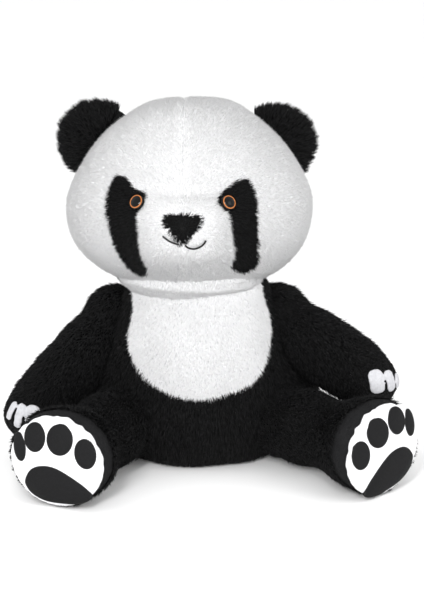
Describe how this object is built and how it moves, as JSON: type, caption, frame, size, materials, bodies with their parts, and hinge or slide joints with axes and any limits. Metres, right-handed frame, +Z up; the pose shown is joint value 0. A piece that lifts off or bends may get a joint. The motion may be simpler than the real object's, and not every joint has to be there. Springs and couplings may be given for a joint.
{
  "type": "plush panda",
  "caption": "Seated stuffed panda toy of sewn black and white plush, with a large turning head, soft arms and ears, and legs spread on the floor to show padded paw soles.",
  "frame": {"origin": "middle of the flat seat, on the floor", "axes": "+Z up, the panda faces -Y, +X is to the panda's own left"},
  "size_m": [0.4815, 0.3487, 0.419],
  "materials": {
    "white_plush": "soft cut pile, white",
    "black_plush": "long shaggy pile, black",
    "white_velour": "short smooth pile, white",
    "black_velour": "short smooth pile, black",
    "claw_fabric": "short smooth pile, pale grey",
    "stuffing": "loose polyester fibre",
    "thread": "black stitching thread",
    "eye_plastic": "glossy black",
    "amber_plastic": "glossy amber",
    "washer_plastic": "plain moulded"
  },
  "bodies": {
    "torso": {"belly_bib": "white_plush", "seat_panel": "black_plush", "torso_left_panel": "black_plush", "torso_right_panel": "black_plush", "torso_stuffing": "stuffing"},
    "neck": {"neck_stuffing": "stuffing"},
    "head": {"face_left_panel": "white_plush", "face_right_panel": "white_plush", "head_back_left_panel": "white_plush", "head_back_right_panel": "white_plush", "muzzle_panel": "white_plush", "nose": "black_plush", "eye_patch_left": "black_plush", "eye_patch_right": "black_plush", "eye_left": "eye_plastic", "eye_right": "eye_plastic", "eye_left_iris_ring": "amber_plastic", "eye_right_iris_ring": "amber_plastic", "eye_left_washer": "washer_plastic", "eye_right_washer": "washer_plastic", "mouth_stitching": "thread", "head_stuffing": "stuffing"},
    "ear_left": {"ear_left_front_panel": "black_plush", "ear_left_back_panel": "black_plush", "ear_left_stuffing": "stuffing"},
    "arm_left": {"arm_left_outer_panel": "black_plush", "arm_left_inner_panel": "black_plush", "claws_left": "claw_fabric", "arm_left_stuffing": "stuffing"},
    "leg_left": {"leg_left_upper_panel": "black_plush", "leg_left_under_panel": "black_plush", "foot_left_sole_cover": "black_velour", "foot_left_paw_patch": "white_velour", "foot_left_toe_pads": "black_velour", "foot_left_heel_pad": "black_velour", "leg_left_stuffing": "stuffing"},
    "ear_right": {"ear_right_front_panel": "black_plush", "ear_right_back_panel": "black_plush", "ear_right_stuffing": "stuffing"},
    "arm_right": {"arm_right_outer_panel": "black_plush", "arm_right_inner_panel": "black_plush", "claws_right": "claw_fabric", "arm_right_stuffing": "stuffing"},
    "leg_right": {"leg_right_upper_panel": "black_plush", "leg_right_under_panel": "black_plush", "foot_right_sole_cover": "black_velour", "foot_right_paw_patch": "white_velour", "foot_right_toe_pads": "black_velour", "foot_right_heel_pad": "black_velour", "leg_right_stuffing": "stuffing"}
  },
  "joints": [
    {"name": "head_turn", "type": "hinge", "parent": "torso", "child": "neck", "pos_m": [-0.004, -0.005, 0.226], "axis": [0, 0, 1], "range_deg": [-25, 25]},
    {"name": "head_nod", "type": "hinge", "parent": "neck", "child": "head", "pos_m": [-0.004, -0.005, 0.226], "axis": [1, 0, 0], "range_deg": [-7, 7]},
    {"name": "arm_left_raise", "type": "hinge", "parent": "torso", "child": "arm_left", "pos_m": [0.095, -0.002, 0.158], "axis": [-0.5708, -0.8211, 0], "range_deg": [0, 25]},
    {"name": "leg_left_close", "type": "hinge", "parent": "torso", "child": "leg_left", "pos_m": [0.098, -0.062, 0.05], "axis": [0, 0, -1], "range_deg": [0, 15]},
    {"name": "ear_left_fold", "type": "hinge", "parent": "head", "child": "ear_left", "pos_m": [0.087, 0.016, 0.362], "axis": [0.5592, 0, -0.829], "range_deg": [-15, 15]},
    {"name": "arm_right_raise", "type": "hinge", "parent": "torso", "child": "arm_right", "pos_m": [-0.095, -0.002, 0.158], "axis": [-0.5773, 0.8165, 0], "range_deg": [0, 25]},
    {"name": "leg_right_close", "type": "hinge", "parent": "torso", "child": "leg_right", "pos_m": [-0.088, -0.074, 0.05], "axis": [0, 0, 1], "range_deg": [0, 15]},
    {"name": "ear_right_fold", "type": "hinge", "parent": "head", "child": "ear_right", "pos_m": [-0.113, 0.016, 0.367], "axis": [-0.5592, 0, -0.829], "range_deg": [-15, 15]}
  ]
}
